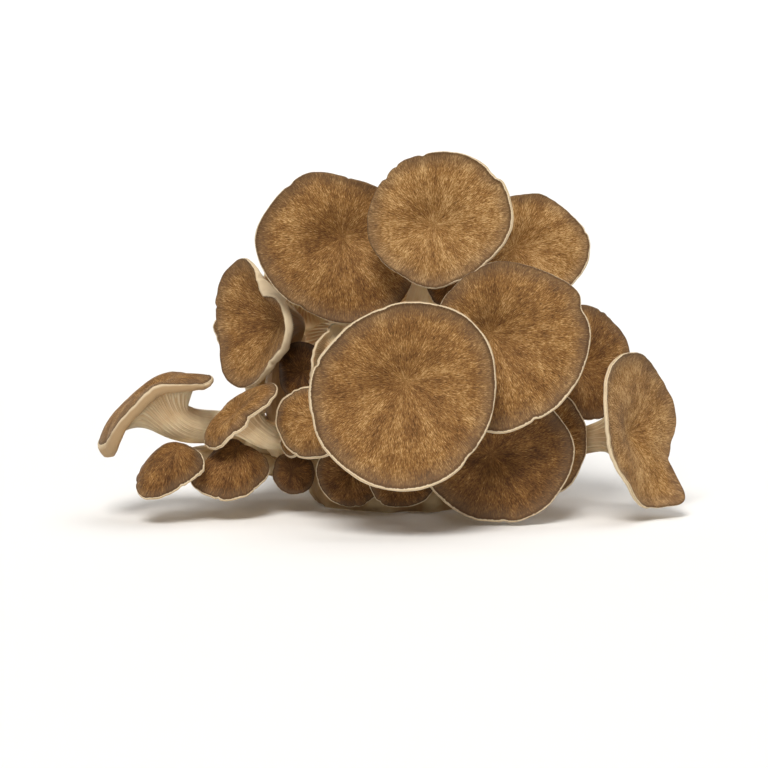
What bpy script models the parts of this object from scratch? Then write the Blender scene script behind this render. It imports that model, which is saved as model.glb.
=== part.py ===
"""A cluster of grey-brown oyster mushrooms: one common base, cut flat underneath, and what grows from it.

Each mushroom is one solid, as it grew: cap, gills and stem. The gills are ridges raised from the underside
and run down the neck. Sizes in the table are millimetres and degrees. The frame is +X to the viewer's right,
-Y towards the viewer and +Z up, with the origin in the middle of the cut face.
"""

import math
from dataclasses import dataclass

import bmesh
import bpy
from mathutils import Matrix, Vector

MM = 0.001
EDGE = 2.2  # usual thickness of the flesh at a cap's edge
EDGE_CURL = 1.6  # how far the outermost skin turns down
CURL_FROM = 0.8  # share of the reach where that turn starts
GILL_DEPTH = 2.4  # height of a gill above the flesh between gills
GILL_SHARE = 0.55  # and never more than this share of the flesh under the skin
FOOT_GAP = 0.3  # clearance between a stem's foot and the base
HEIGHTS_AT = (0.35, 0.7, 1.0)  # shares of the reach where a cap's heights are given

SKIN_RINGS = (0.3, 0.62, 0.88)  # shares of the reach, navel to edge
GILL_RINGS = (0.74, 0.45, 0.2)  # shares of the way from neck to edge
STEM_RINGS = (0.76, 0.5, 0.25)  # shares of the stem, root to neck
UNDER_RIM = 0.975  # share of the way from neck to edge where the underside starts
FLARE_POWER = 2.8  # how late the flesh usually thickens towards the neck

LUMP_SIDES = 18
LUMP_BELTS = 10
FLOOR_CUT = 0.4  # side of the block that trims the base flat, in metres
SHARP_ANGLE = 50.0  # edges that turn further than this are shaded sharp

FLESH_COLOUR = (0.62, 0.5, 0.36)
FLESH_ROUGHNESS = 0.7
SKIN_COLOUR = (0.19, 0.115, 0.055)
SKIN_ROUGHNESS = 0.6


@dataclass(frozen=True)
class Mushroom:
    """One mushroom. Angles round the cap run counterclockwise from its right as its skin is looked at."""

    name: str
    navel: tuple  # middle of the cap, over the stem
    facing: tuple  # where the skin looks: degrees to the right of the viewer, degrees up
    reach: tuple  # from the navel to the edge, every 30 degrees
    heights: tuple  # over the navel, along the facing, at HEIGHTS_AT
    root: tuple  # where the stem starts, a little inside the base
    leaves: tuple  # the way it leaves the base
    neck: float  # radius of the stem where the gills end
    foot: float  # radius of the stem at the root
    flare: float  # how far down the neck lies below the edge
    bend: tuple = (0.38, 0.38)  # share of the stem's length that it runs straight at the root and at the neck
    lobes: tuple = ()  # (angle, millimetres, width in degrees) of a bulge or a notch in the edge
    lifts: tuple = ()  # (angle, millimetres, width in degrees) of a stretch of edge that turns up
    lean: tuple = (0.0, 0.0)  # one side raised: millimetres, angle
    saddle: tuple = (0.0, 0.0)  # two opposite sides raised: millimetres, angle
    waves: tuple = (0.8, 5, 20.0)  # of the edge: millimetres, count, angle
    gills: int = 20
    swells: tuple = ()  # (angle, millimetres, width in degrees) of a stretch of edge with thicker flesh
    late: float = FLARE_POWER  # how late the flesh thickens towards the neck


BIG = {"neck": 9.5, "foot": 7.0, "flare": 17.0}
MIDDLE = {"neck": 7.5, "foot": 6.0, "flare": 13.0, "gills": 18}
SMALL = {"neck": 5.5, "foot": 4.5, "flare": 9.0, "gills": 14}

MUSHROOMS = (
    Mushroom(
        "mushroom_front_large", (2, -100, 76), (0, 6), (43, 44, 41, 38, 37, 40, 45, 49, 51, 52, 49, 45),
        (1.5, 2.2, 3.5), (4, -14, 24), (0, -0.8, 0.6), **BIG,
    ),
    Mushroom(
        "mushroom_top_middle", (15, -62, 147), (-10, 8), (40, 41, 38, 35, 33, 31, 31, 30, 28, 31, 31, 34),
        (2, 3.6, 4.5), (4, -2, 38), (-0.15, -0.2, 1), bend=(0.38, 0.25), lobes=((40, -1.5, 6),), **BIG,
    ),
    Mushroom(
        "mushroom_top_left", (-28, -42, 139), (6, 6), (36, 34, 29, 30, 36, 38, 43, 42, 40, 42, 43, 40),
        (1.5, 1.5, 1.5), (-12, 4, 37), (0.2, 0.1, 1), bend=(0.38, 0.25), waves=(1.2, 5, 60.0), **BIG,
    ),
    Mushroom(
        "mushroom_top_right", (57, -30, 133), (14, 12), (37, 31, 29, 25, 24, 23, 23, 24, 25, 27, 30, 34),
        (2, 3.2, 3), (26, 6, 28), (0.3, 0.1, 1), **MIDDLE,
    ),
    Mushroom(
        "mushroom_right_middle", (43, -82, 97), (6, 8), (48, 44, 37, 34, 29, 28, 28, 32, 40, 48, 47, 48),
        (2, 2.6, 2), (20, -6, 32), (0.2, -0.4, 0.9), lobes=((15, -1.5, 6), (23, 1.5, 8)), **BIG,
    ),
    Mushroom(
        "mushroom_low_right", (44, -64, 35), (4, 0), (41, 38, 35, 32, 31, 32, 35, 33, 32, 33, 36, 38),
        (1.5, 1.2, 0), (30, -12, 18), (0.3, -1, 0.1), **BIG,
    ),
    Mushroom(
        "mushroom_low_right_back", (66, -43, 39), (2, 0), (26, 26, 27, 26, 16, 12, 11, 11, 15, 24, 29, 27),
        (1.5, 1, -3), (52, -10, 28), (0.2, -1, 0.1), neck=6.5, foot=5.0, flare=10.0, gills=18,
    ),
    Mushroom(
        "mushroom_right_back", (90, -21, 73), (35, 8), (29, 30, 30, 30, 28, 25, 24, 24, 25, 27, 29, 29),
        (1.5, 1.8, 0.5), (58, 0, 32), (0.5, 0, 0.9), **MIDDLE,
    ),
    Mushroom(
        "mushroom_far_right", (116, -45, 43), (56, 8), (31, 33, 35, 40, 42, 38, 33, 31, 33, 38, 35, 27),
        (1, 1, 2.5), (62, -6, 20), (0.8, 0.35, 0.25), bend=(0.4, 0.3), lobes=((-66, 4, 12), (-42, -4, 9)),
        lifts=((-66, 8, 16),), **MIDDLE,
    ),
    Mushroom(
        "mushroom_left_funnel", (-63, -12, 94), (-48, 4), (29, 26, 19, 27, 34, 35, 33, 33, 37, 32, 27, 27),
        (2, 7, 12), (-58, 2, 38), (-0.35, -0.1, 1), bend=(0.6, 0.12), lean=(3.0, 0.0), lifts=((62, 2, 26),),
        swells=((0, 3, 55), (58, 9, 20)), neck=7.5, foot=6.0, flare=10.0, gills=18,
    ),
    Mushroom(
        "mushroom_left_tip", (-86.5, 18, 86), (-20, 10), (9, 8, 9, 9, 8, 9, 9, 8, 9, 9, 8, 9),
        (0.5, 0, -1), (-70, 8, 38), (-0.3, 0.1, 0.9), neck=3.5, foot=3.0, flare=4.0, gills=12,
    ),
    Mushroom(
        "mushroom_inner_left", (-49, -22, 70), (-12, 4), (13, 13, 14, 15, 15, 13, 12, 13, 14, 15, 14, 13),
        (1, 0, -3), (-42, 4, 38), (0, 0, 1), bend=(0.3, 0.3), neck=4.5, foot=4.5, flare=6.0, gills=14,
    ),
    Mushroom(
        "mushroom_gill_side", (-32, -36, 80), (-112, 14), (19, 18, 16, 15, 16, 18, 18, 19, 20, 20, 20, 20),
        (2, 4, 4), (-12, -8, 32), (0, -0.3, 1), **SMALL,
    ),
    Mushroom(
        "mushroom_beside_front", (-40, -70, 54), (-22, 10), (18, 18, 17, 16, 18, 22, 25, 24, 22, 19, 18, 18),
        (1, -1, -6), (-30, -6, 32), (-0.1, -1, 0.3), **SMALL,
    ),
    Mushroom(
        "mushroom_side_view", (-122, -45, 68), (-90, 62), (22, 23, 26, 28, 26, 23, 22, 26, 33, 38, 33, 25),
        (-0.5, -2.5, -5.5), (-72, -1, 36), (-0.6, -0.7, 0.4), bend=(0.38, 0.2), saddle=(5.0, 0.0),
        lifts=((288, -5, 26), (75, -2, 24)), swells=((0, 3.5, 60), (290, 5, 26)), late=1.8, neck=10.5, foot=8.0,
        flare=15.0, gills=22,
    ),
    Mushroom(
        "mushroom_saddle", (-82, -54, 56), (-58, 42), (11, 20, 24, 18, 16, 14, 16, 20, 22, 20, 15, 12),
        (0, -1, -4), (-60, -12, 32), (-0.2, -0.7, 0.5), neck=7.0, foot=6.0, flare=10.0, gills=18,
    ),
    Mushroom(
        "mushroom_droop_left", (-109, -65, 40), (-18, 40), (11, 9, 8, 8, 10, 13, 18, 25, 27, 17, 14, 13),
        (-1.5, -6, -12), (-79, -6, 25), (-0.9, 0.0, 0.2), bend=(0.38, 0.1), **SMALL,
    ),
    Mushroom(
        "mushroom_droop_middle", (-80, -48, 38), (4, 44), (15, 9, 9, 11, 12, 12, 15, 26, 26, 23, 20, 18),
        (-1.5, -6, -12), (-65, -9, 23), (-0.2, -1, 0.1), **SMALL,
    ),
    Mushroom(
        "mushroom_inner_small", (-54, -46, 45), (-30, 20), (8, 8, 8, 7, 6, 5, 5, 7, 11, 13, 11, 9),
        (-0.5, -2, -4), (-44, -14, 30), (0.1, -1, 0.3), neck=4.5, foot=4.0, flare=5.0, gills=12,
    ),
    Mushroom(
        "mushroom_inner_low", (-53, -34, 23), (14, 10), (12, 11, 9, 8, 9, 9, 9, 10, 11, 12, 13, 13),
        (-0.5, -2, -4), (-48, -10, 22), (0, -1, 0.1), neck=4.5, foot=4.0, flare=5.0, gills=12,
    ),
    Mushroom(
        "mushroom_low_left", (-24, -41, 23), (-8, 0), (17, 16, 15, 14, 15, 17, 18, 18, 18, 18, 17, 17),
        (1, 1, -2), (-14, -12, 14), (-0.1, -1, 0.1), **SMALL,
    ),
    Mushroom(
        "mushroom_low_middle", (1, -54, 25), (0, -2), (18, 17, 15, 14, 15, 17, 17, 18, 19, 18, 18, 18),
        (1, 1, -2), (2, -14, 8), (0, -1, 0.1), **SMALL,
    ),
    Mushroom(
        "mushroom_inner_top", (23, -38, 115), (4, 10), (10, 11, 11, 10, 10, 10, 10, 10, 11, 11, 10, 10),
        (0.5, 0, -1.5), (15, 10, 36), (0.3, -0.2, 1), bend=(0.5, 0.08), neck=3.8, foot=3.5, flare=5.0, gills=12,
    ),
    Mushroom(
        "mushroom_back_upper_left", (-45, 45, 113), (-150, 25), (28, 29, 30, 30, 27, 26, 26, 28, 32, 34, 32, 28),
        (2, 3, -2), (-14, 16, 28), (-0.3, 0.5, 1), **MIDDLE,
    ),
    Mushroom(
        "mushroom_back_upper_right", (36, 50, 121), (152, 24), (30, 31, 30, 28, 27, 28, 29, 31, 32, 33, 32, 31),
        (2, 3, -3), (18, 16, 24), (0.2, 0.5, 1), **MIDDLE,
    ),
    Mushroom(
        "mushroom_back_middle", (-14, 78, 79), (180, 14), (36, 35, 33, 31, 30, 31, 33, 36, 38, 38, 36, 35),
        (2, 3, -3), (2, 18, 20), (-0.1, 1, 0.5), **BIG,
    ),
    Mushroom(
        "mushroom_back_left", (-64, 47, 67), (-122, 20), (22, 22, 21, 20, 20, 21, 22, 25, 28, 28, 27, 23),
        (1, 0, -4), (-26, 12, 24), (-0.8, 0.6, 0.4), **MIDDLE,
    ),
    Mushroom(
        "mushroom_back_right", (78, 44, 61), (124, 18), (27, 28, 27, 25, 24, 25, 27, 29, 30, 30, 29, 28),
        (2, 2, -3), (44, 8, 26), (0.8, 0.6, 0.4), **MIDDLE,
    ),
    Mushroom(
        "mushroom_back_low_right", (28, 72, 32), (166, 4), (21, 21, 20, 19, 19, 20, 21, 22, 22, 22, 21, 21),
        (1, 1, -3), (22, 18, 12), (0.1, 1, 0.1), **SMALL,
    ),
    Mushroom(
        "mushroom_back_low_left", (-38, 64, 30), (-152, 6), (19, 20, 20, 19, 18, 18, 19, 20, 21, 21, 20, 19),
        (1, 0, -3), (-18, 18, 12), (-0.3, 1, 0.1), **SMALL,
    ),
)

# The lumps that the base is grown together from: middle, radii
LUMPS = (
    ((0, 0, 14), (48, 30, 32)),
    ((-54, -2, 30), (40, 19, 18)),
    ((50, -4, 24), (26, 20, 18)),
)


def bell(angle, centre, width):
    """A bump of height 1 round the edge: angle in radians, centre and width in degrees."""
    away = (math.degrees(angle) - centre + 180) % 360 - 180
    return math.exp(-((away / width) ** 2))


def outline(mushroom, angle):
    """Distance from the navel to the edge at an angle in radians: a smooth curve through the twelve reaches."""
    reach = mushroom.reach
    place = (angle / math.tau * len(reach)) % len(reach)
    step = int(place)
    t = place - step
    a, b, c, d = (reach[(step + k) % len(reach)] for k in (-1, 0, 1, 2))
    radius = b + 0.5 * t * (c - a + t * (2 * a - 5 * b + 4 * c - d + t * (3 * (b - c) + d - a)))
    for centre, size, width in mushroom.lobes:
        radius += size * bell(angle, centre, width)
    return radius


def height_powers(heights):
    """Factors of share squared, cubed and to the fourth that pass through the three heights."""
    rows = Matrix([[at**2, at**3, at**4] for at in HEIGHTS_AT])
    return rows.inverted() @ Vector(heights)


def skin_height(mushroom, angle, share):
    """Height of the skin over the navel, along the facing, at a share of the reach."""
    a, b, c = height_powers(mushroom.heights)
    lean, lean_at = mushroom.lean
    saddle, saddle_at = mushroom.saddle
    wave, count, wave_at = mushroom.waves
    height = share**2 * (a + share * (b + share * c))
    height += lean * share**2 * math.cos(angle - math.radians(lean_at))
    height += saddle * share**2 * math.cos(2 * (angle - math.radians(saddle_at)))
    height += wave * share**4 * math.sin(count * angle + math.radians(wave_at))
    for centre, rise, width in mushroom.lifts:
        height += rise * share**4 * bell(angle, centre, width)
    curl = max(0.0, (share - CURL_FROM) / (1 - CURL_FROM))
    return height - EDGE_CURL * curl**2


def cap_frame(mushroom):
    """The cap's right, up and facing as unit vectors."""
    azimuth, rise = (math.radians(x) for x in mushroom.facing)
    facing = Vector((math.sin(azimuth) * math.cos(rise), -math.cos(azimuth) * math.cos(rise), math.sin(rise)))
    right = Vector((math.cos(azimuth), math.sin(azimuth), 0))
    return right, facing.cross(right), facing


def skin_point(mushroom, angle, share):
    """A point on the cap's skin."""
    right, up, facing = cap_frame(mushroom)
    radius = outline(mushroom, angle) * share
    height = skin_height(mushroom, angle, share)
    return Vector(mushroom.navel) + radius * (math.cos(angle) * right + math.sin(angle) * up) + height * facing


def gill_point(mushroom, angle, out, between):
    """A point under the cap, at a share of the way from neck to edge, on a gill or in the groove between two."""
    right, up, facing = cap_frame(mushroom)
    reach = outline(mushroom, angle)
    radius = mushroom.neck + (reach - mushroom.neck) * out
    flesh = EDGE + mushroom.flare * (1 - out) ** mushroom.late
    for centre, extra, width in mushroom.swells:
        flesh += extra * out * bell(angle, centre, width)
    height = skin_height(mushroom, angle, radius / reach) - flesh
    if between:
        height += min(GILL_DEPTH, GILL_SHARE * flesh)
    return Vector(mushroom.navel) + radius * (math.cos(angle) * right + math.sin(angle) * up) + height * facing


def stem_rings(mushroom, sides):
    """Rings of points down the stem, neck to root, each turned as little as it can be from the last."""
    right, up, facing = cap_frame(mushroom)
    neck = Vector(mushroom.navel) - (EDGE + mushroom.flare) * facing
    root = Vector(mushroom.root)
    length = (neck - root).length
    low, high = (share * length for share in mushroom.bend)
    bends = (root, root + low * Vector(mushroom.leaves).normalized(), neck - high * facing, neck)
    rings = []
    last = facing
    for t in (*STEM_RINGS, 0.0):
        s = 1 - t
        centre = s**3 * bends[0] + 3 * s * s * t * bends[1] + 3 * s * t * t * bends[2] + t**3 * bends[3]
        along = s * s * (bends[1] - bends[0]) + 2 * s * t * (bends[2] - bends[1]) + t * t * (bends[3] - bends[2])
        along.normalize()
        turn = last.rotation_difference(along)
        right, up, last = turn @ right, turn @ up, along
        radius = mushroom.foot + (mushroom.neck - mushroom.foot) * t**3
        angles = (math.tau * i / sides for i in range(sides))
        rings.append([centre + radius * (math.cos(a) * right + math.sin(a) * up) for a in angles])
    return rings, root


def band(mesh, above, below):
    """Triangles between two rings of vertices that have as many points, or one twice as many as the other."""
    if len(above) == len(below):
        for i, vertex in enumerate(above):
            j = (i + 1) % len(above)
            mesh.faces.new((vertex, below[i], below[j]))
            mesh.faces.new((vertex, below[j], above[j]))
        return
    flip = len(above) > len(below)
    few, many = (below, above) if flip else (above, below)
    for i, vertex in enumerate(few):
        j, k = (i + 1) % len(few), 2 * i
        after = (k + 2) % len(many)
        for corners in (
            (vertex, many[k], many[k + 1]),
            (vertex, many[k + 1], few[j]),
            (few[j], many[k + 1], many[after]),
        ):
            mesh.faces.new(corners[::-1] if flip else corners)


def loft(rings, first, last):
    """A closed skin from one end point over rings of points to the other end point."""
    mesh = bmesh.new()
    loops = [[mesh.verts.new(point * MM) for point in ring] for ring in rings]
    for end, loop in ((first, loops[0]), (last, loops[-1][::-1])):
        tip = mesh.verts.new(end * MM)
        for i, vertex in enumerate(loop):
            mesh.faces.new((tip, vertex, loop[(i + 1) % len(loop)]))
    for above, below in zip(loops, loops[1:]):
        band(mesh, above, below)
    return mesh


def mushroom_mesh(mushroom):
    """Cap, gills and stem as one closed mesh: over the skin, round the edge, down the gills and the stem."""
    fine, quarter = mushroom.gills * 2, mushroom.gills // 2
    turns = [math.tau * i / fine for i in range(fine)]
    rings = [[skin_point(mushroom, a, share) for a in turns[::2]] for share in SKIN_RINGS]
    rings.append([skin_point(mushroom, a, 1.0) for a in turns])
    rings.append([gill_point(mushroom, a, UNDER_RIM, False) for a in turns])
    for out in GILL_RINGS:
        rings.append([gill_point(mushroom, a, out, i % 2 == 1) for i, a in enumerate(turns)])
    rings.append([gill_point(mushroom, a, 0.0, False) for a in turns[::2]])
    below, root = stem_rings(mushroom, quarter)
    rings += below
    mesh = loft(rings, Vector(mushroom.navel), root)
    bmesh.ops.recalc_face_normals(mesh, faces=mesh.faces)
    return mesh


def principled(name, colour, roughness):
    """A plain matte material."""
    material = bpy.data.materials.new(name)
    material.use_nodes = True
    shader = material.node_tree.nodes["Principled BSDF"]
    shader.inputs["Base Color"].default_value = (*colour, 1.0)
    shader.inputs["Roughness"].default_value = roughness
    shader.inputs["Metallic"].default_value = 0.0
    return material


def add_object(name, mesh, collection, material=None):
    """Links a bmesh to the scene as a named object and frees it."""
    data = bpy.data.meshes.new(name)
    mesh.to_mesh(data)
    mesh.free()
    if material:
        data.materials.append(material)
        data.shade_smooth()
        data.set_sharp_from_angle(angle=math.radians(SHARP_ANGLE))
    part = bpy.data.objects.new(name, data)
    collection.objects.link(part)
    return part


def as_cutter(part):
    """Keeps an object out of the model: it only cuts or joins others."""
    part.hide_render = True
    part.display_type = "WIRE"
    return part


def boolean(part, operation, other):
    """Adds an exact Boolean with another object."""
    modifier = part.modifiers.new(operation.lower(), "BOOLEAN")
    modifier.operation = operation
    modifier.solver = "EXACT"
    modifier.object = other


def lump(name, middle, radii, grow, collection, material=None):
    """One rounded lump of the base, as an ellipsoid grown by some millimetres all round."""
    mesh = bmesh.new()
    bmesh.ops.create_uvsphere(mesh, u_segments=LUMP_SIDES, v_segments=LUMP_BELTS, radius=1.0)
    size = Matrix.Diagonal([(radius + grow) * MM for radius in radii]).to_4x4()
    bmesh.ops.transform(mesh, matrix=Matrix.Translation(Vector(middle) * MM) @ size, verts=mesh.verts)
    return add_object(name, mesh, collection, material)


def grown_base(name, grow, collection, cutters, material=None):
    """The lumps of the base grown together as one body."""
    whole = lump(name, *LUMPS[0], grow, collection, material)
    for number, (middle, radii) in enumerate(LUMPS[1:], start=1):
        side = as_cutter(lump(f"{name}_lump_{number}", middle, radii, grow, cutters))
        boolean(whole, "UNION", side)
    return whole


def floor_block(cutters):
    """The block under the cut face."""
    mesh = bmesh.new()
    bmesh.ops.create_cube(mesh, size=FLOOR_CUT)
    bmesh.ops.translate(mesh, vec=(0, 0, -FLOOR_CUT / 2), verts=mesh.verts)
    return as_cutter(add_object("floor_block", mesh, cutters))


def build():
    """Makes the base and every mushroom."""
    for old in list(bpy.data.objects):
        bpy.data.objects.remove(old)
    model = bpy.data.collections.new("oyster_mushroom_cluster")
    cutters = bpy.data.collections.new("cutters")
    for collection in (model, cutters):
        bpy.context.scene.collection.children.link(collection)
    flesh = principled("cream_flesh", FLESH_COLOUR, FLESH_ROUGHNESS)
    skin = principled("brown_cap_skin", SKIN_COLOUR, SKIN_ROUGHNESS)
    base = grown_base("base", 0.0, model, cutters, flesh)
    boolean(base, "DIFFERENCE", floor_block(cutters))
    foot_trim = as_cutter(grown_base("foot_trim", FOOT_GAP, cutters, cutters))
    for mushroom in MUSHROOMS:
        part = add_object(mushroom.name, mushroom_mesh(mushroom), model, skin)
        boolean(part, "DIFFERENCE", foot_trim)


build()
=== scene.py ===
"""Dresses the oyster mushroom cluster: velvety caps, cream gills and stems, and the butt they grow from.

Every mushroom is drawn again from the same measures as its solid, with its gills at their real spacing, a
rounded cream edge and fine unevenness. Measures of the mushrooms are in millimetres and degrees.
"""

import logging
import math
from dataclasses import dataclass, field
from enum import Enum
from typing import Any, Sequence

import bmesh
import bpy
import numpy as np
from mathutils import Matrix, Vector, noise


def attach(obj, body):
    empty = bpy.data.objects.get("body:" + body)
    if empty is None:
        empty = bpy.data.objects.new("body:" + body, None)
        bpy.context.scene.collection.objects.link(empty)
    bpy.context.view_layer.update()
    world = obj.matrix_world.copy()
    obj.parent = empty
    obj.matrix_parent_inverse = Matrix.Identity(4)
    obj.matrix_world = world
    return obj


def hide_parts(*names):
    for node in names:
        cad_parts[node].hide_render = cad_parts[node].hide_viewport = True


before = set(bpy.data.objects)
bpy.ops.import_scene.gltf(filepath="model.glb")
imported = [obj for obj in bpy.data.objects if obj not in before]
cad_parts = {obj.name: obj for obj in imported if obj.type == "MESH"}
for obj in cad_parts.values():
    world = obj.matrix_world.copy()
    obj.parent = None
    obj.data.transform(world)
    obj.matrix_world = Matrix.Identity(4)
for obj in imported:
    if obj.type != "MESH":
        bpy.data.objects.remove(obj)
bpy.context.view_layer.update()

log = logging.getLogger("oyster_mushrooms")

MM = 0.001
BODY = "root"


def linear(colour: str) -> tuple[float, float, float, float]:
    """Turns an sRGB hex colour to linear values.

    Args:
        colour: Six hex digits after a hash sign.

    Returns:
        Red, green, blue and an alpha of 1.
    """
    channels = (int(colour[i:i + 2], 16) / 255 for i in (1, 3, 5))
    return (*(c / 12.92 if c <= 0.04045 else ((c + 0.055) / 1.055) ** 2.4 for c in channels), 1.0)


def add_node(
    tree: bpy.types.NodeTree,
    kind: str,
    inputs: dict[int | str, Any] | None = None,
    stops: Sequence[tuple[float, str]] = (),
    **settings: Any,
) -> bpy.types.NodeSocket:
    """Adds one node with its settings, values and links.

    Args:
        tree: The node tree of a material or world.
        kind: The node's type, without the words that all of them start with.
        inputs: A value or an output socket for each input, by its number or name.
        stops: Places and hex colours, for a colour ramp.
        settings: The node's own properties.

    Returns:
        The node's first output in use.
    """
    node = tree.nodes.new("ShaderNode" + kind)
    for name, value in settings.items():
        setattr(node, name, value)
    for place, colour in stops[2:]:
        node.color_ramp.elements.new(place)
    for element, (place, colour) in zip(node.color_ramp.elements if stops else (), stops):
        element.position = place
        element.color = linear(colour)
    for place, value in (inputs or {}).items():
        if isinstance(value, bpy.types.NodeSocket):
            tree.links.new(value, node.inputs[place])
        else:
            node.inputs[place].default_value = value
    return next((socket for socket in node.outputs if socket.enabled), None)


def new_material(name: str) -> tuple[bpy.types.Material, bpy.types.NodeTree, bpy.types.Node]:
    """Starts a material.

    Args:
        name: What it is called.

    Returns:
        The material, its nodes and its shader.
    """
    material = bpy.data.materials.new(name)
    material.use_nodes = True
    return material, material.node_tree, material.node_tree.nodes["Principled BSDF"]


def add_object(name: str, data: bpy.types.ID) -> bpy.types.Object:
    """Adds an object to the scene.

    Args:
        name: What it is called.
        data: Its mesh, lamp or camera data.

    Returns:
        The object, at the origin.
    """
    added = bpy.data.objects.new(name, data)
    bpy.context.scene.collection.objects.link(added)
    return added


def finished(mesh: bmesh.types.BMesh, name: str) -> bpy.types.Mesh:
    """Turns a mesh that is worked on to one that an object can have.

    Args:
        mesh: The working mesh, which is freed.
        name: What the new one is called.

    Returns:
        The new mesh.
    """
    data = bpy.data.meshes.new(name)
    mesh.to_mesh(data)
    mesh.free()
    return data


def dress(piece: bpy.types.Object, node: str) -> None:
    """Puts a finished piece in the place of its solid.

    Args:
        piece: The finished piece.
        node: The solid's name.
    """
    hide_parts(node)
    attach(piece, BODY)
    log.info("%s: %d faces", piece.name, len(piece.data.polygons))


def smooth(low: float, high: float, value: np.ndarray | float) -> np.ndarray | float:
    """Rises smoothly from 0 at low to 1 at high, or falls if high is the lower.

    Args:
        low: Where the result is 0.
        high: Where the result is 1.
        value: One number or an array.

    Returns:
        Numbers from 0 to 1, of the value's shape.
    """
    share = np.clip((value - low) / (high - low), 0.0, 1.0)
    return share * share * (3 - 2 * share)


@dataclass(frozen=True)
class Stature:
    """How thick a mushroom grew: radii of its neck and foot, and how far the neck lies below the edge."""

    neck: float
    foot: float
    flare: float


class Growth(Enum):
    """The usual statures."""

    BIG = Stature(9.5, 7.0, 17.0)
    MIDDLE = Stature(7.5, 6.0, 13.0)
    SMALL = Stature(5.5, 4.5, 9.0)


class ToneAndShade(Enum):
    """How light a cap's skin is against the usual brown: partly its own tone, partly painted shade on caps
    deep in shadow.
    """

    # DARKEST and DARK are mostly painted shade, for caps that lie in the cluster's shadow
    DARKEST = -0.3
    DARK = -0.16
    DEEP = -0.08
    USUAL = 0.0
    LIGHT = 0.1


@dataclass(frozen=True)
class Mushroom:
    """One mushroom's measures. Angles run counterclockwise round the cap from its right, seen from over."""

    name: str
    navel: tuple  # middle of the cap, over the stem
    facing: tuple  # where the skin looks: degrees to the right of the viewer, degrees up
    reach: tuple  # from the navel to the edge, every 30 degrees
    heights: tuple  # over the navel, along the facing, at three shares of the reach
    root: tuple  # where the stem starts, a little inside the butt
    leaves: tuple  # the way it leaves the butt
    stature: Stature
    bend: tuple = (0.38, 0.38)  # share of the stem's length that it runs straight at the root and at the neck
    lobes: tuple = ()  # (angle, millimetres, width in degrees) of a bulge or a notch in the edge
    lifts: tuple = ()  # (angle, millimetres, width in degrees) of a stretch of edge that turns up
    lean: tuple = (0.0, 0.0)  # one side raised: millimetres, angle
    saddle: tuple = (0.0, 0.0)  # two opposite sides raised: millimetres, angle
    waves: tuple = (0.8, 5, 20.0)  # of the edge: millimetres, count, angle
    tone: ToneAndShade = ToneAndShade.USUAL
    ragged: float = 1.0  # how uneven the edge is against the usual
    bare: float = 0.0  # how much further than usual the cream flesh shows round the edge, below 0 for less
    swing: float = 0.4  # how unevenly it shows
    pale_side: float = 270.0  # angle where it shows the most
    thick: float = 1.0  # thickness of the edge against the usual
    gills_to: float = 0.95  # share of the way to the edge where the gills fade out
    fine: float = 1.0  # how many more gills than usual
    swells: tuple = ()  # (angle, millimetres, width in degrees) of a stretch of edge with thicker flesh
    late: float = 2.8  # how late the flesh thickens towards the neck
    lip: float = 1.7  # how far the edge turns up
    felt: float = 0.0  # how brown the underside is by the edge
    stain_and_shade: float = 0.2  # how brown the stem is towards its root: partly its own browning, partly painted shade where it lies in shadow
    painted_inner_shade: float = 0.0  # painted shade on the gills towards the stem and down the stem, for undersides that lie in shadow


BIG, MIDDLE, SMALL = (growth.value for growth in Growth)

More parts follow.
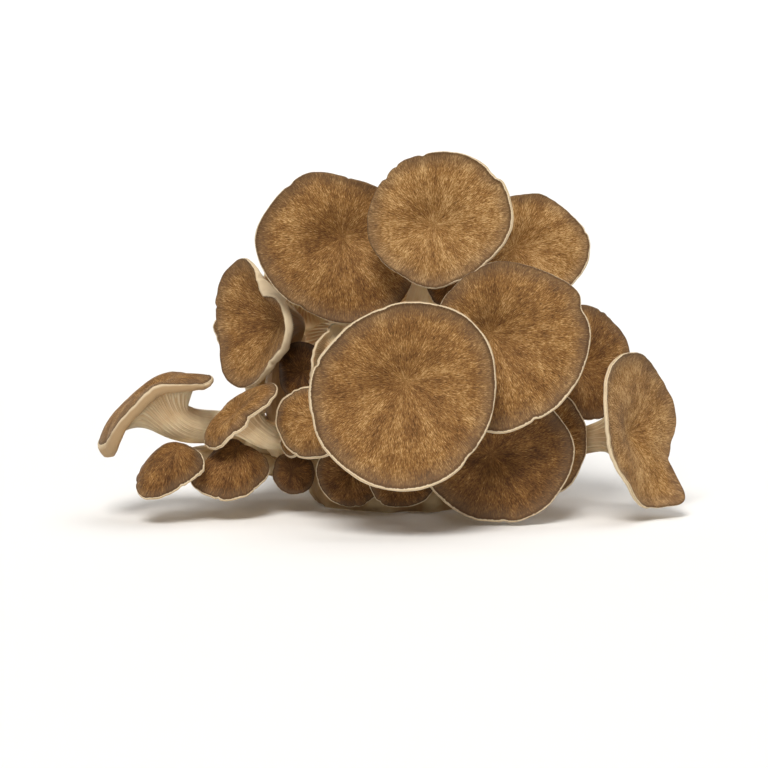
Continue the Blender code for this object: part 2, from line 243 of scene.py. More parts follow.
MUSHROOMS = (
    Mushroom(
        "mushroom_front_large", (2, -100, 76), (0, 6), (43, 44, 41, 38, 37, 40, 45, 49, 51, 52, 49, 45),
        (1.5, 2.2, 3.5), (4, -14, 24), (0, -0.8, 0.6), BIG, bare=-0.15, swing=0.35, pale_side=240.0,
    ),
    Mushroom(
        "mushroom_top_middle", (15, -62, 147), (-10, 8), (40, 41, 38, 35, 33, 31, 31, 30, 28, 31, 31, 34),
        (2, 3.6, 4.5), (4, -2, 38), (-0.15, -0.2, 1), BIG, bend=(0.38, 0.25), lobes=((40, -1.5, 6),),
        tone=ToneAndShade.LIGHT, lip=2.3, stain_and_shade=0.0, bare=-0.9, swing=1.1, pale_side=340.0,
    ),
    Mushroom(
        "mushroom_top_left", (-28, -42, 139), (6, 6), (36, 34, 29, 30, 36, 38, 43, 42, 40, 42, 43, 40),
        (1.5, 1.5, 1.5), (-12, 4, 37), (0.2, 0.1, 1), BIG, bend=(0.38, 0.25), waves=(1.2, 5, 60.0),
        bare=-1.7, swing=0.7, pale_side=215.0, painted_inner_shade=0.45,
    ),
    Mushroom(
        "mushroom_top_right", (57, -30, 133), (14, 12), (37, 31, 29, 25, 24, 23, 23, 24, 25, 27, 30, 34),
        (2, 3.2, 3), (26, 6, 28), (0.3, 0.1, 1), MIDDLE, tone=ToneAndShade.LIGHT,
        bare=-1.0, swing=0.9, pale_side=300.0,
    ),
    Mushroom(
        "mushroom_right_middle", (43, -82, 97), (6, 8), (48, 44, 37, 34, 29, 28, 28, 32, 40, 48, 47, 48),
        (2, 2.6, 2), (20, -6, 32), (0.2, -0.4, 0.9), BIG, lobes=((15, -1.5, 6), (23, 1.5, 8)),
        bare=-0.8, swing=1.0, pale_side=285.0,
    ),
    Mushroom(
        "mushroom_low_right", (44, -64, 35), (4, 0), (41, 38, 35, 32, 31, 32, 35, 33, 32, 33, 36, 38),
        (1.5, 1.2, 0), (30, -12, 18), (0.3, -1, 0.1), BIG, tone=ToneAndShade.DARK, bare=-0.4,
    ),
    Mushroom(
        "mushroom_low_right_back", (66, -43, 39), (2, 0), (26, 26, 27, 26, 16, 12, 11, 11, 15, 24, 29, 27),
        (1.5, 1, -3), (52, -10, 28), (0.2, -1, 0.1), Stature(6.5, 5.0, 10.0), bare=-0.6,
    ),
    Mushroom(
        "mushroom_right_back", (90, -21, 73), (35, 8), (29, 30, 30, 30, 28, 25, 24, 24, 25, 27, 29, 29),
        (1.5, 1.8, 0.5), (58, 0, 32), (0.5, 0, 0.9), MIDDLE, tone=ToneAndShade.DEEP,
        bare=-1.5, swing=0.6,
    ),
    Mushroom(
        "mushroom_far_right", (116, -45, 43), (56, 8), (31, 33, 35, 40, 42, 38, 33, 31, 33, 38, 35, 27),
        (1, 1, 2.5), (62, -6, 20), (0.8, 0.35, 0.25), MIDDLE, bend=(0.4, 0.3),
        lobes=((-66, 4, 12), (-42, -4, 9)), lifts=((-66, 8, 16),), tone=ToneAndShade.LIGHT, lip=2.3,
        bare=-0.9, swing=1.1, pale_side=190.0, stain_and_shade=0.6,
    ),
    Mushroom(
        "mushroom_left_funnel", (-63, -12, 94), (-48, 4), (29, 26, 19, 27, 34, 35, 33, 33, 37, 32, 27, 27),
        (2, 7, 12), (-58, 2, 38), (-0.35, -0.1, 1), Stature(7.5, 6.0, 10.0), bend=(0.6, 0.12),
        lean=(3.0, 0.0), lifts=((62, 2, 26),), swells=((0, 3, 55), (58, 9, 20), (-48, 2, 24)), ragged=1.3,
        fine=1.7, bare=-0.5, swing=1.0, pale_side=350.0, stain_and_shade=0.65, painted_inner_shade=0.65,
    ),
    Mushroom(
        "mushroom_left_tip", (-86.5, 18, 86), (-20, 10), (9, 8, 9, 9, 8, 9, 9, 8, 9, 9, 8, 9),
        (0.5, 0, -1), (-70, 8, 38), (-0.3, 0.1, 0.9), Stature(3.5, 3.0, 4.0), tone=ToneAndShade.DEEP,
    ),
    Mushroom(
        "mushroom_inner_left", (-49, -22, 70), (-12, 4), (13, 13, 14, 15, 15, 13, 12, 13, 14, 15, 14, 13),
        (1, 0, -3), (-42, 4, 38), (0, 0, 1), Stature(4.5, 4.5, 6.0), bend=(0.3, 0.3), tone=ToneAndShade.DARKEST,
        thick=0.7, bare=-1.6,
    ),
    Mushroom(
        "mushroom_gill_side", (-32, -36, 80), (-112, 14), (19, 18, 16, 15, 16, 18, 18, 19, 20, 20, 20, 20),
        (2, 4, 4), (-12, -8, 32), (0, -0.3, 1), SMALL, fine=2.0, thick=0.7, stain_and_shade=0.1,
    ),
    Mushroom(
        "mushroom_beside_front", (-40, -70, 54), (-22, 10), (18, 18, 17, 16, 18, 22, 25, 24, 22, 19, 18, 18),
        (1, -1, -6), (-30, -6, 32), (-0.1, -1, 0.3), SMALL, pale_side=230.0,
    ),
    Mushroom(
        "mushroom_side_view", (-122, -45, 68), (-90, 62), (22, 23, 26, 28, 26, 23, 22, 26, 33, 38, 33, 25),
        (-0.5, -2.5, -5.5), (-72, -1, 36), (-0.6, -0.7, 0.4), Stature(10.5, 8.0, 15.0), bend=(0.38, 0.2),
        saddle=(5.0, 0.0), lifts=((288, -5, 26), (75, -2, 24)), swells=((0, 3.5, 60), (290, 5, 26)), late=1.8,
        gills_to=0.62, fine=1.7, bare=-0.4, lip=0.2, felt=0.5, stain_and_shade=0.0,
    ),
    Mushroom(
        "mushroom_saddle", (-82, -54, 56), (-58, 42), (11, 20, 24, 18, 16, 14, 16, 20, 22, 20, 15, 12),
        (0, -1, -4), (-60, -12, 32), (-0.2, -0.7, 0.5), Stature(7.0, 6.0, 10.0), fine=1.4, gills_to=0.8,
        bare=-0.5, swing=0.5, pale_side=300.0, thick=0.75, lip=0.3, felt=0.2, stain_and_shade=0.0,
    ),
    Mushroom(
        "mushroom_droop_left", (-109, -65, 40), (-18, 40), (11, 9, 8, 8, 10, 13, 18, 25, 27, 17, 14, 13),
        (-1.5, -6, -12), (-79, -6, 25), (-0.9, 0.0, 0.2), SMALL, bend=(0.38, 0.1), tone=ToneAndShade.DARK, ragged=1.6,
        bare=-0.8, swing=0.8, pale_side=320.0, thick=0.7, lip=0.2,
    ),
    Mushroom(
        "mushroom_droop_middle", (-80, -48, 38), (4, 44), (15, 9, 9, 11, 12, 12, 15, 26, 26, 23, 20, 18),
        (-1.5, -6, -12), (-65, -9, 23), (-0.2, -1, 0.1), SMALL, tone=ToneAndShade.DARK,
        bare=-1.0, swing=0.5, thick=0.7, lip=0.2,
    ),
    Mushroom(
        "mushroom_inner_small", (-54, -46, 45), (-30, 20), (8, 8, 8, 7, 6, 5, 5, 7, 11, 13, 11, 9),
        (-0.5, -2, -4), (-44, -14, 30), (0.1, -1, 0.3), Stature(4.5, 4.0, 5.0), tone=ToneAndShade.DEEP, bare=-0.7,
    ),
    Mushroom(
        "mushroom_inner_low", (-53, -34, 23), (14, 10), (12, 11, 9, 8, 9, 9, 9, 10, 11, 12, 13, 13),
        (-0.5, -2, -4), (-48, -10, 22), (0, -1, 0.1), Stature(4.5, 4.0, 5.0), tone=ToneAndShade.DARKEST, bare=-1.6,
        thick=0.8,
    ),
    Mushroom(
        "mushroom_low_left", (-24, -41, 23), (-8, 0), (17, 16, 15, 14, 15, 17, 18, 18, 18, 18, 17, 17),
        (1, 1, -2), (-14, -12, 14), (-0.1, -1, 0.1), SMALL, tone=ToneAndShade.DARK, bare=-0.7, pale_side=200.0,
        thick=0.75,
    ),
    Mushroom(
        "mushroom_low_middle", (1, -54, 25), (0, -2), (18, 17, 15, 14, 15, 17, 17, 18, 19, 18, 18, 18),
        (1, 1, -2), (2, -14, 8), (0, -1, 0.1), SMALL, tone=ToneAndShade.DARK, bare=-0.7, thick=0.75,
    ),
    Mushroom(
        "mushroom_inner_top", (23, -38, 115), (4, 10), (10, 11, 11, 10, 10, 10, 10, 10, 11, 11, 10, 10),
        (0.5, 0, -1.5), (15, 10, 36), (0.3, -0.2, 1), Stature(3.8, 3.5, 5.0), bend=(0.5, 0.08),
        tone=ToneAndShade.DARK, bare=-1.2,
    ),
    Mushroom(
        "mushroom_back_upper_left", (-45, 45, 113), (-150, 25),
        (28, 29, 30, 30, 27, 26, 26, 28, 32, 34, 32, 28), (2, 3, -2), (-14, 16, 28), (-0.3, 0.5, 1), MIDDLE,
    ),
    Mushroom(
        "mushroom_back_upper_right", (36, 50, 121), (152, 24),
        (30, 31, 30, 28, 27, 28, 29, 31, 32, 33, 32, 31), (2, 3, -3), (18, 16, 24), (0.2, 0.5, 1), MIDDLE,
        tone=ToneAndShade.LIGHT,
    ),
    Mushroom(
        "mushroom_back_middle", (-14, 78, 79), (180, 14), (36, 35, 33, 31, 30, 31, 33, 36, 38, 38, 36, 35),
        (2, 3, -3), (2, 18, 20), (-0.1, 1, 0.5), BIG,
    ),
    Mushroom(
        "mushroom_back_left", (-64, 47, 67), (-122, 20), (22, 22, 21, 20, 20, 21, 22, 25, 28, 28, 27, 23),
        (1, 0, -4), (-26, 12, 24), (-0.8, 0.6, 0.4), MIDDLE, tone=ToneAndShade.DEEP,
    ),
    Mushroom(
        "mushroom_back_right", (78, 44, 61), (124, 18), (27, 28, 27, 25, 24, 25, 27, 29, 30, 30, 29, 28),
        (2, 2, -3), (44, 8, 26), (0.8, 0.6, 0.4), MIDDLE,
    ),
    Mushroom(
        "mushroom_back_low_right", (28, 72, 32), (166, 4), (21, 21, 20, 19, 19, 20, 21, 22, 22, 22, 21, 21),
        (1, 1, -3), (22, 18, 12), (0.1, 1, 0.1), SMALL, tone=ToneAndShade.DEEP,
    ),
    Mushroom(
        "mushroom_back_low_left", (-38, 64, 30), (-152, 6), (19, 20, 20, 19, 18, 18, 19, 20, 21, 21, 20, 19),
        (1, 0, -3), (-18, 18, 12), (-0.3, 1, 0.1), SMALL,
    ),
)


@dataclass(frozen=True)
class VelvetSkin:
    """The cap's skin: dry, felted with fine brown fibres that lie outwards from the navel.

    It gives the eye a soft matte brown with paler streaks, a greyer bloom towards the edge where the fibres
    thin out, and the bare cream flesh of the edge itself.
    """

    name: str = "oyster_cap_velvet_skin"
    deep: str = "#45290e"
    brown: str = "#774f24"
    tan: str = "#926833"
    gold: str = "#d6b079"
    bloom: str = "#6a5642"
    line: str = "#a3855c"
    fringe: str = "#4a321b"
    cream: str = "#d9c5a4"
    felt: str = "#a58863"
    fibre: float = 0.25  # width of a bundle of fibres
    bundle: float = 6.5  # its length
    strands: float = 2.6  # how much the fibres show, as do the next three
    clouds: float = 0.55
    sectors: float = 0.65
    grit: float = 0.15
    level: float = -1.51  # lightness of the whole
    margin: tuple[float, float] = (11.0, 0.5)  # from the edge: where the bloom starts, and where it is full
    dark: tuple[float, float] = (2.3, 0.9)  # the same for the dark fringe that the margin ends in
    bare: tuple[float, float] = (0.45, 0.1)  # and for the bare flesh of the edge
    most_bloom: float = 0.55  # how much of the brown the bloom hides where it is full
    most_fringe: float = 0.6  # and the fringe
    cloud_size: float = 7.0  # of the mottling
    speck_size: float = 1.1  # of the finest tufts
    bundle_ends: float = 2.2  # how far bundles side by side start apart, as a share of their length
    ends_grain: tuple = (24.0, 24.0, 0.05)  # how often that changes round the navel and with each millimetre
    sector_grain: tuple = (3.5, 3.5, 0.04)  # the same for the broad lighter and darker sectors
    relief: float = 0.4  # depth of the nap

    def fibres(self, tree: bpy.types.NodeTree, grain: bpy.types.NodeSocket, shift: float) -> tuple:
        """Draws one layer of fibre bundles, each a band of its own length round the navel.

        Args:
            tree: The material's nodes.
            grain: Cosine and sine of the angle round the navel, and the distance from it in millimetres.
            shift: Share of a bundle's length by which this layer lies further out.

        Returns:
            The layer's brightness, and its weight, which fades to nothing at the bundles' ends.
        """
        parts = add_node(tree, "SeparateXYZ", {0: grain}).node.outputs
        ragged = add_node(tree, "VectorMath", {0: grain, 1: self.ends_grain}, operation="MULTIPLY")
        ends = add_node(tree, "TexNoise", {"Vector": ragged, "Scale": 1.0, "Detail": 0.0})
        along = add_node(
            tree, "Math", {0: parts["Z"], 1: 1 / self.bundle, 2: shift}, operation="MULTIPLY_ADD"
        )
        along = add_node(tree, "Math", {0: ends, 1: self.bundle_ends, 2: along}, operation="MULTIPLY_ADD")
        band = add_node(tree, "Math", {0: along}, operation="FLOOR")
        place = add_node(tree, "Math", {0: along}, operation="FRACT")
        width = add_node(tree, "Math", {0: band, 1: self.bundle / self.fibre}, operation="MULTIPLY")
        turn = add_node(tree, "CombineXYZ", {0: width, 1: width, 2: 0.12 / self.fibre})
        spread = add_node(tree, "VectorMath", {0: grain, 1: turn}, operation="MULTIPLY")
        apart = add_node(tree, "Math", {0: band, 1: 17.3}, operation="MULTIPLY")
        step = add_node(tree, "CombineXYZ", {0: apart, 1: shift * 31.0, 2: apart})
        coat = add_node(tree, "VectorMath", {0: spread, 1: step}, operation="ADD")
        light = add_node(tree, "TexNoise", {"Vector": coat, "Scale": 1.0, "Detail": 2.0, "Roughness": 0.75})
        away = add_node(tree, "Math", {0: place, 1: 2.0, 2: -1.0}, operation="MULTIPLY_ADD")
        away = add_node(tree, "Math", {0: away}, operation="ABSOLUTE")
        weight = add_node(tree, "Math", {0: 1.0, 1: away}, operation="SUBTRACT")
        return light, weight

    def material(self) -> bpy.types.Material:
        """Makes the material.

        Returns:
            A material that reads the mushroom's own attributes grain, edge, tone and brown; the tone is
            partly painted shade.
        """
        material, tree, shader = new_material(self.name)
        grain = add_node(tree, "Attribute", attribute_name="grain").node.outputs["Vector"]
        edge, tone, felt = (
            add_node(tree, "Attribute", attribute_name=name).node.outputs["Fac"]
            for name in ("edge", "tone", "brown")
        )
        place = add_node(tree, "TexCoord").node.outputs["Object"]

        near, near_weight = self.fibres(tree, grain, 0.0)
        far, far_weight = self.fibres(tree, grain, 0.5)
        near = add_node(tree, "Math", {0: near, 1: near_weight}, operation="MULTIPLY")
        coat = add_node(tree, "Math", {0: far, 1: far_weight, 2: near}, operation="MULTIPLY_ADD")
        mottle = add_node(
            tree, "TexNoise",
            {"Vector": place, "Scale": 1 / (self.cloud_size * MM), "Detail": 3.0, "Roughness": 0.6},
        )
        speck = add_node(
            tree, "TexNoise", {"Vector": place, "Scale": 1 / (self.speck_size * MM), "Detail": 1.0}
        )
        broad = add_node(tree, "VectorMath", {0: grain, 1: self.sector_grain}, operation="MULTIPLY")
        apart = add_node(tree, "VectorMath", {0: place, 1: (9.0, 9.0, 9.0)}, operation="MULTIPLY")
        broad = add_node(tree, "VectorMath", {0: broad, 1: apart}, operation="ADD")
        sector = add_node(tree, "TexNoise", {"Vector": broad, "Scale": 1.0, "Detail": 3.0, "Roughness": 0.6})
        # the tone lightens or darkens the whole skin: partly its own tone, partly painted shade on caps deep
        # in shadow
        value = add_node(tree, "Math", {0: tone, 1: self.level}, operation="ADD")
        parts = ((coat, self.strands), (mottle, self.clouds), (sector, self.sectors), (speck, self.grit))
        for part, share in parts:
            value = add_node(tree, "Math", {0: part, 1: share, 2: value}, operation="MULTIPLY_ADD")
        colour = add_node(
            tree, "ValToRGB", {0: value},
            stops=((0.1, self.deep), (0.4, self.brown), (0.6, self.tan), (0.95, self.gold)),
        )

        ripple = add_node(tree, "Math", {0: mottle, 1: 6.0, 2: -3.0}, operation="MULTIPLY_ADD")
        ragged = add_node(tree, "Math", {0: edge, 1: ripple}, operation="ADD")
        margin = add_node(
            tree, "MapRange", {0: ragged, 1: self.margin[0], 2: self.margin[1], 4: self.most_bloom},
            interpolation_type="SMOOTHSTEP",
        )
        thin = add_node(tree, "Math", {0: coat, 1: -1.1, 2: 1.5}, operation="MULTIPLY_ADD")
        margin = add_node(tree, "Math", {0: margin, 1: thin}, operation="MULTIPLY")
        fine = add_node(tree, "Math", {0: speck, 1: 0.9, 2: -0.45}, operation="MULTIPLY_ADD")
        lip = add_node(tree, "Math", {0: edge, 1: fine}, operation="ADD")
        fringe, bare = (
            add_node(
                tree, "MapRange", {0: lip, 1: start, 2: full, 4: most}, interpolation_type="SMOOTHSTEP"
            )
            for (start, full), most in ((self.dark, self.most_fringe), (self.bare, 1.0))
        )
        line = add_node(tree, "Math", {0: lip, 1: -0.65, 2: 0.3}, operation="COMPARE")
        line = add_node(tree, "Math", {0: line, 1: mottle}, operation="MULTIPLY")
        felt = add_node(tree, "MapRange", {0: felt, 2: 0.5})
        coats = (
            (margin, self.bloom), (fringe, self.fringe), (bare, self.cream), (line, self.line),
            (felt, self.felt),
        )
        for share, tint in coats:
            colour = add_node(tree, "Mix", {0: share, 6: colour, 7: linear(tint)}, data_type="RGBA")
        tree.links.new(colour, shader.inputs["Base Color"])

        rough = add_node(tree, "MapRange", {0: coat, 1: 0.3, 2: 0.7, 3: 0.82, 4: 0.6})
        tree.links.new(rough, shader.inputs["Roughness"])
        relief = add_node(tree, "Math", {0: speck, 1: 0.4, 2: coat}, operation="MULTIPLY_ADD")
        bump = add_node(tree, "Bump", {"Strength": 0.7, "Distance": self.relief * MM, "Height": relief})
        tree.links.new(bump, shader.inputs["Normal"])
        shader.inputs["Specular IOR Level"].default_value = 0.25
        shader.inputs["Sheen Weight"].default_value = 0.12
        shader.inputs["Sheen Roughness"].default_value = 0.45
        shader.inputs["Sheen Tint"].default_value = linear("#e9d2ae")
        return material


@dataclass(frozen=True)
class GilledFlesh:
    """Bare mushroom flesh: cream and slightly see-through, ribbed with gills and fine fibres down the stem.

    It gives the eye a warm cream with painted tan shade in the grooves between the gills, pinker and greyer
    near the cap's edge.
    """

    name: str = "oyster_gill_and_stem_flesh"
    cream: str = "#f7e2ba"
    # painted shade in the grooves between the gills
    groove_shade: str = "#ac7b45"
    pale: str = "#dcc49c"
    shade: str = "#bf9560"
    # felt and the darker stain colour the underside's own felt and the stems' own browning, and also painted
    # shade on gills and stems in shadow
    felt: str = "#a58863"
    stain_and_shade: str = "#5f4326"
    fibre: float = 0.7
    pale_from: float = 16.0  # from the edge, where the flesh starts to be greyer
    stem: float = 14.0  # distance from the middle at which the fibres have their width
    worn_size: float = 11.0  # of the worn patches
    relief: float = 0.4  # height of the fibres
    glow: float = 2.5  # how far light goes into it

    def material(self) -> bpy.types.Material:
        """Makes the material.

        Returns:
            A material that reads the mushroom's own attributes grain, edge, ridge and brown.
        """
        material, tree, shader = new_material(self.name)
        grain = add_node(tree, "Attribute", attribute_name="grain").node.outputs["Vector"]
        # brown carries the real browning of underside and stems, and painted shade on gills and stems in
        # shadow
        edge, ridge, felt = (
            add_node(tree, "Attribute", attribute_name=name).node.outputs["Fac"]
            for name in ("edge", "ridge", "brown")
        )
        place = add_node(tree, "TexCoord").node.outputs["Object"]
        stretch = add_node(
            tree, "VectorMath", {0: grain, 1: (self.stem / self.fibre, self.stem / self.fibre, 0.1)},
            operation="MULTIPLY",
        )
        streak = add_node(
            tree, "TexNoise", {"Vector": stretch, "Scale": 1.0, "Detail": 2.0, "Roughness": 0.6}
        )
        mottle = add_node(
            tree, "TexNoise", {"Vector": place, "Scale": 1 / (self.worn_size * MM), "Detail": 2.0}
        )
        near = add_node(
            tree, "MapRange", {0: edge, 1: -self.pale_from, 2: -1.5, 4: 0.75},
            interpolation_type="SMOOTHSTEP",
        )
        light_brown_and_shade = add_node(tree, "MapRange", {0: felt, 2: 0.5})
        dark_brown_and_shade = add_node(tree, "MapRange", {0: felt, 1: 0.5})
        worn = add_node(tree, "MapRange", {0: mottle, 1: 0.5, 2: 0.75, 4: 0.45})
        fibres = add_node(tree, "MapRange", {0: streak, 1: 0.52, 2: 0.8, 4: 0.5})
        # painted shade: darker low in the grooves between the gills
        deep = add_node(tree, "MapRange", {0: ridge, 1: 0.75, 2: 0.0, 4: 0.45})
        tints = (
            (near, self.pale), (light_brown_and_shade, self.felt), (dark_brown_and_shade, self.stain_and_shade), (worn, self.shade),
            (fibres, self.shade), (deep, self.groove_shade),
        )
        colour = linear(self.cream)
        for share, tint in tints:
            colour = add_node(tree, "Mix", {0: share, 6: colour, 7: linear(tint)}, data_type="RGBA")
        tree.links.new(colour, shader.inputs["Base Color"])
        bump = add_node(tree, "Bump", {"Strength": 0.5, "Distance": self.relief * MM, "Height": streak})
        tree.links.new(bump, shader.inputs["Normal"])
        shader.inputs["Roughness"].default_value = 0.55
        shader.inputs["Specular IOR Level"].default_value = 0.35
        shader.inputs["Subsurface Weight"].default_value = 0.15
        shader.inputs["Subsurface Radius"].default_value = (1.0, 0.6, 0.35)
        shader.inputs["Subsurface Scale"].default_value = self.glow * MM
        return material


@dataclass(frozen=True)
class ButtFlesh:
    """The common butt: dense dry flesh with a felt of mycelium, creased and torn, and cut clean underneath.

    It gives the eye a chalky cream, with browner mottled stains and painted shade in its creases, and a
    smooth paler cut.
    """

    name: str = "oyster_butt_dense_flesh"
    chalk: str = "#c9b48e"
    # painted shade in the creases, and also the colour of the mottled stains
    crease: str = "#8f6a3d"
    cut: str = "#ece1c8"
    cut_height: float = 0.6  # up to which the cut shows
    felt_size: float = 1.2
    stain_size: float = 8.0
    relief: float = 0.5  # height of the felt

    def material(self) -> bpy.types.Material:
        """Makes the material.

        Returns:
            A material that reads the butt's own attribute crease.
        """
        material, tree, shader = new_material(self.name)
        crease = add_node(tree, "Attribute", attribute_name="crease").node.outputs["Fac"]
        place = add_node(tree, "TexCoord").node.outputs["Object"]
        height = add_node(tree, "SeparateXYZ", {0: place}).node.outputs["Z"]
        felt = add_node(
            tree, "TexNoise",
            {"Vector": place, "Scale": 1 / (self.felt_size * MM), "Detail": 3.0, "Roughness": 0.65},
        )
        mottle = add_node(
            tree, "TexNoise", {"Vector": place, "Scale": 1 / (self.stain_size * MM), "Detail": 3.0}
        )
        # painted shade in the creases, mixed with mottled stains
        deep = add_node(tree, "Math", {0: mottle, 1: 0.6, 2: crease}, operation="MULTIPLY_ADD")
        deep = add_node(tree, "MapRange", {0: deep, 1: 0.5, 2: 1.5, 3: 0.1, 4: 0.8})
        under = add_node(tree, "MapRange", {0: height, 1: self.cut_height * MM, 2: 0.0, 4: 0.85})
        colour = linear(self.chalk)
        for share, tint in ((deep, self.crease), (under, self.cut)):
            colour = add_node(tree, "Mix", {0: share, 6: colour, 7: linear(tint)}, data_type="RGBA")
        tree.links.new(colour, shader.inputs["Base Color"])
        bump = add_node(tree, "Bump", {"Strength": 0.6, "Distance": self.relief * MM, "Height": felt})
        tree.links.new(bump, shader.inputs["Normal"])
        shader.inputs["Roughness"].default_value = 0.75
        shader.inputs["Specular IOR Level"].default_value = 0.3
        return material


@dataclass(frozen=True)
class MattPaper:
    """Heavy matt background paper, as studios roll out under small things: pale, even and without gloss."""

    name: str = "matt_background_paper"
    colour: str = "#f7f6f4"
    tooth: float = 0.8  # width of its grain

    def material(self) -> bpy.types.Material:
        """Makes the material with a barely uneven tooth.

        Returns:
            The material.
        """
        material, tree, shader = new_material(self.name)
        place = add_node(tree, "TexCoord").node.outputs["Object"]
        tooth = add_node(tree, "TexNoise", {"Vector": place, "Scale": 1 / (self.tooth * MM), "Detail": 1.0})
        bump = add_node(tree, "Bump", {"Strength": 0.05, "Distance": 0.1 * MM, "Height": tooth})
        tree.links.new(bump, shader.inputs["Normal"])
        shader.inputs["Base Color"].default_value = linear(self.colour)
        shader.inputs["Roughness"].default_value = 0.9
        shader.inputs["Specular IOR Level"].default_value = 0.1
        return material


@dataclass
class FruitBody:
    """One mushroom as a finished piece: its skin, its edge, its gills and its stem in one closed mesh."""

    measures: Mushroom
    number: int
    edge: float = 2.2  # thickness of the flesh at the cap's edge
    bulge: float = 0.8  # how far the rounded edge stands out
    swell_bulge: float = 0.15  # and how much further for each millimetre of thicker flesh
    edge_curl: float = 0.7
    curl_from: float = 0.8
    lip_width: float = 6.5  # the stretch by the edge that turns up
    dimple: float = 6.2  # extra depth of the navel
    dimple_width: float = 0.38  # as a share of the reach
    heights_at: tuple = (0.35, 0.7, 1.0)
    gill_depth: float = 2.4
    gill_share: float = 0.55
    gill_spacing: float = 2.1  # at the cap's edge
    steps_per_gill: int = 3
    inner_rings: int = 14
    outer_rings: tuple = (5.5, 4.0, 2.8, 1.9, 1.2, 0.6, 0.0)  # from the edge
    rim_turns: tuple = (60.0, 25.0, -10.0, -45.0)  # round the edge, from level outwards
    under_rings: tuple = (0.985, 0.955, 0.91, 0.85, 0.78, 0.7, 0.61, 0.52, 0.43, 0.34, 0.25, 0.17, 0.08, 0.0)
    stem_rings: int = 14
    nicks: int = 4
    neck_blend: int = 5  # rings either side of the neck that are smoothed into each other
    blend_rounds: int = 4
    narrow_below: float = 22.0  # mean reach under which the edge's rings lie closer together
    margin_below: float = 36.0  # mean reach under which the skin's margin gets narrower
    dimple_below: float = 40.0  # mean reach under which the navel gets shallower
    stem_gills: float = 0.55  # height of the gills that run down the stem
    neck_swell: float = 1.6  # how much wider the stem is right under the cap
    neck_swell_run: float = 7.0  # how far down that goes
    felt_turn: tuple = (1.5, 2.4)  # how far round the edge a brown underside starts, and is full
    gill_fade: tuple = (0.05, -0.08)  # from the measured share outwards: where gills are gone, and are full
    shade_fade: tuple = (0.05, -0.15)  # the same for the painted shade in the grooves between them
    neck_fade: tuple = (-0.25, 0.2)  # share of the way from the neck over which gills get as deep as they go
    under_cap: float = -60.0  # distance from the edge that the stem gives its finish
    angles: np.ndarray = field(init=False)  # of the points round each ring
    gills: int = field(init=False)
    chance: np.random.Generator = field(init=False)
    starts: np.ndarray = field(init=False)  # how much sooner or later each gill starts
    points: list = field(init=False, default_factory=list)  # of each ring, as are the next four
    runs: list = field(init=False, default_factory=list)
    edges: list = field(init=False, default_factory=list)
    ridges: list = field(init=False, default_factory=list)
    browns_and_shades: list = field(init=False, default_factory=list)
    skin_end: int = field(init=False)  # ring where the skin ends
    neck_ring: int = field(init=False)

    def __post_init__(self) -> None:
        """Works out how many gills the cap has, and the angles of the points round it."""
        mean = sum(self.measures.reach) / len(self.measures.reach)
        self.gills = 4 * max(6, round(math.tau * mean * self.measures.fine / self.gill_spacing / 4))
        steps = self.gills * self.steps_per_gill
        self.angles = np.arange(steps) * math.tau / steps
        self.chance = np.random.default_rng(100 + self.number)
        self.starts = self.chance.uniform(-0.07, 0.07, self.gills)

    def bells(self, bumps: tuple) -> np.ndarray:
        """Adds up bumps round the edge.

        Args:
            bumps: Angle in degrees, height and width in degrees of each.

        Returns:
            Their sum at each angle.
        """
        total = np.zeros_like(self.angles)
        for centre, size, width in bumps:
            away = (np.degrees(self.angles) - centre + 180) % 360 - 180
            total += size * np.exp(-((away / width) ** 2))
        return total

    def ripple(self, size: float, counts: Sequence[int]) -> np.ndarray:
        """A fine random unevenness round the edge, the same at each run.

        Args:
            size: How far it goes, about.
            counts: How many waves each of its parts has round the edge.

        Returns:
            Its height at each angle.
        """
        total = np.zeros_like(self.angles)
        for count in counts:
            height = self.chance.uniform(0.4, 1.0)
            total += height * np.sin(count * self.angles + self.chance.uniform(0, math.tau))
        return total * size / math.sqrt(len(counts))

    def outline(self) -> np.ndarray:
        """Distance from the navel to the edge at each angle: a smooth curve through the twelve reaches."""
        reach = np.array(self.measures.reach, float)
        place = self.angles / math.tau * len(reach)
        step = place.astype(int)
        t = place - step
        a, b, c, d = (reach[(step + k) % len(reach)] for k in (-1, 0, 1, 2))
        smooth_line = b + 0.5 * t * (c - a + t * (2 * a - 5 * b + 4 * c - d + t * (3 * (b - c) + d - a)))
        uneven = self.ripple(0.36 * self.measures.ragged, (4, 6, 9, 13)) + self.ripple(0.07, (23, 31, 44))
        nicks = []
        for _ in range(self.nicks):
            size = -self.chance.uniform(0.3, 1.0) * self.measures.ragged
            nicks.append((self.chance.uniform(0, 360), size, self.chance.uniform(1.5, 4)))
        uneven = (uneven + self.bells(nicks)) * smooth(5, 30, smooth_line)
        return smooth_line + self.bells(self.measures.lobes) + uneven

    def skin_height(self, share: np.ndarray) -> np.ndarray:
        """Height of the skin over the navel, along the facing.

        Args:
            share: Share of the reach, at each angle.

        Returns:
            The height at each angle.
        """
        spec = self.measures
        a, b, c = Matrix([[at**2, at**3, at**4] for at in self.heights_at]).inverted() @ Vector(spec.heights)
        height = share**2 * (a + share * (b + share * c))
        height += spec.lean[0] * share**2 * np.cos(self.angles - math.radians(spec.lean[1]))
        height += spec.saddle[0] * share**2 * np.cos(2 * (self.angles - math.radians(spec.saddle[1])))
        wave, count, wave_at = spec.waves
        height += wave * share**4 * np.sin(count * self.angles + math.radians(wave_at))
        height += share**4 * self.bells(spec.lifts)
        curl = np.maximum(0.0, (share - self.curl_from) / (1 - self.curl_from))
        return height - self.edge_curl * curl**2

